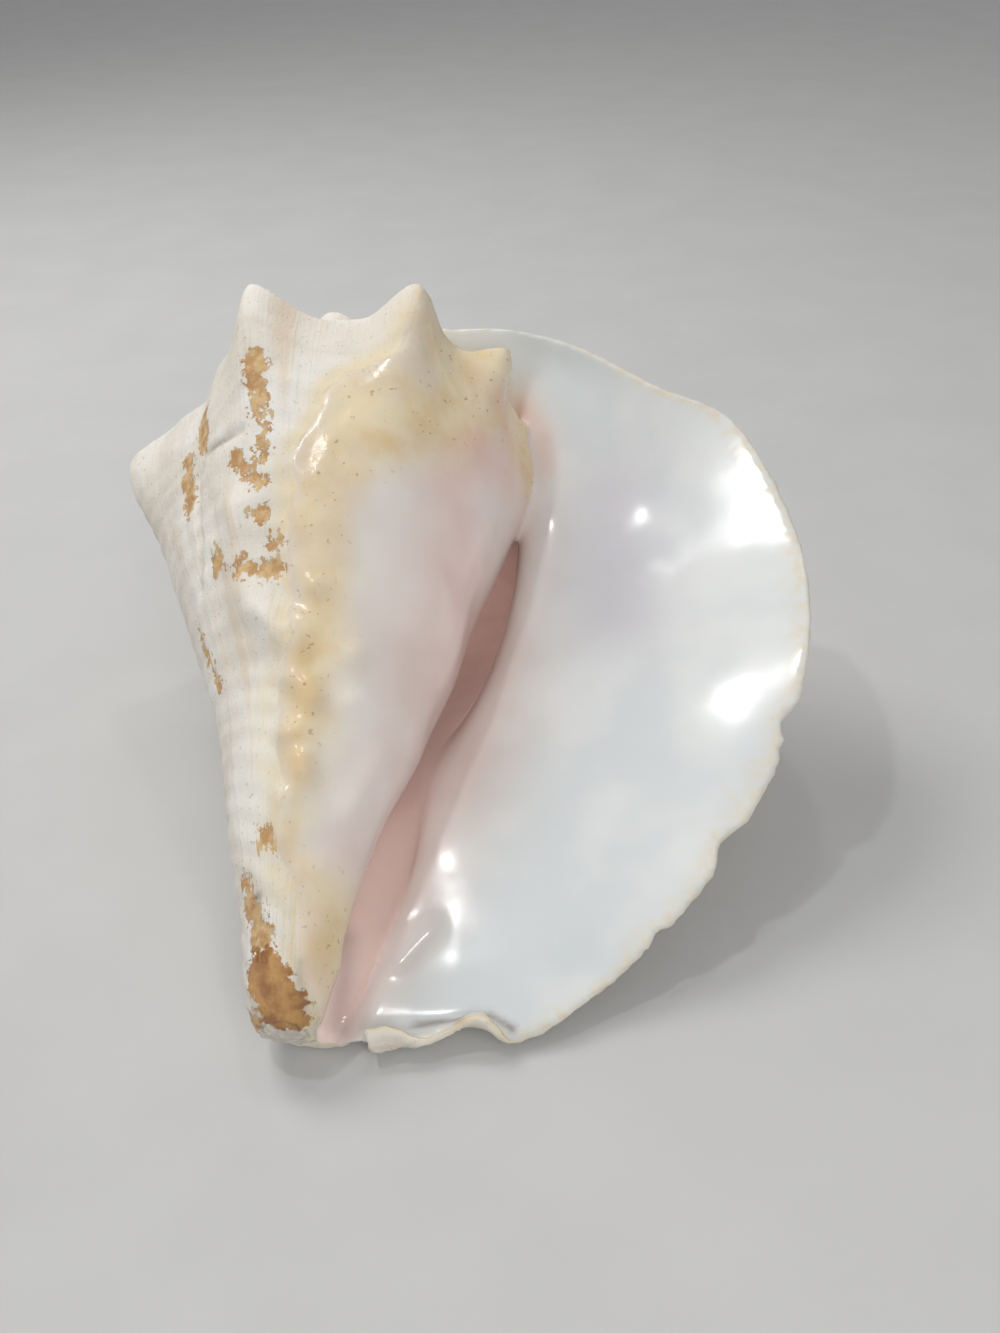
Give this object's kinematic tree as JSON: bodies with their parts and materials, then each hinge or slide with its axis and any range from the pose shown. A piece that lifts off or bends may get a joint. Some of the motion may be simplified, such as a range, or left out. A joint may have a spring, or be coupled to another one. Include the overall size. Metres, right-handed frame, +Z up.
{
  "type": "conch shell",
  "caption": "Large conch shell with a knobbed shoulder, a wide flared lip and a porcelain-smooth aperture, lying on its back.",
  "frame": {"origin": "middle of the bounding box's base, on the surface that the shell rests on", "axes": "+Z up; +Y from the canal's end towards the spire, 4 degrees off the coiling axis's heading; +X towards the flared lip; the aperture faces up"},
  "size_m": [0.1888, 0.2082, 0.1267],
  "materials": {
    "shell": "natural aragonite shell: chalky, worn cream outside with tan flakes; glossy porcelain white to pink inside, yellow callus border"
  },
  "bodies": {
    "root": {"conch_shell": "shell"}
  },
  "joints": []
}
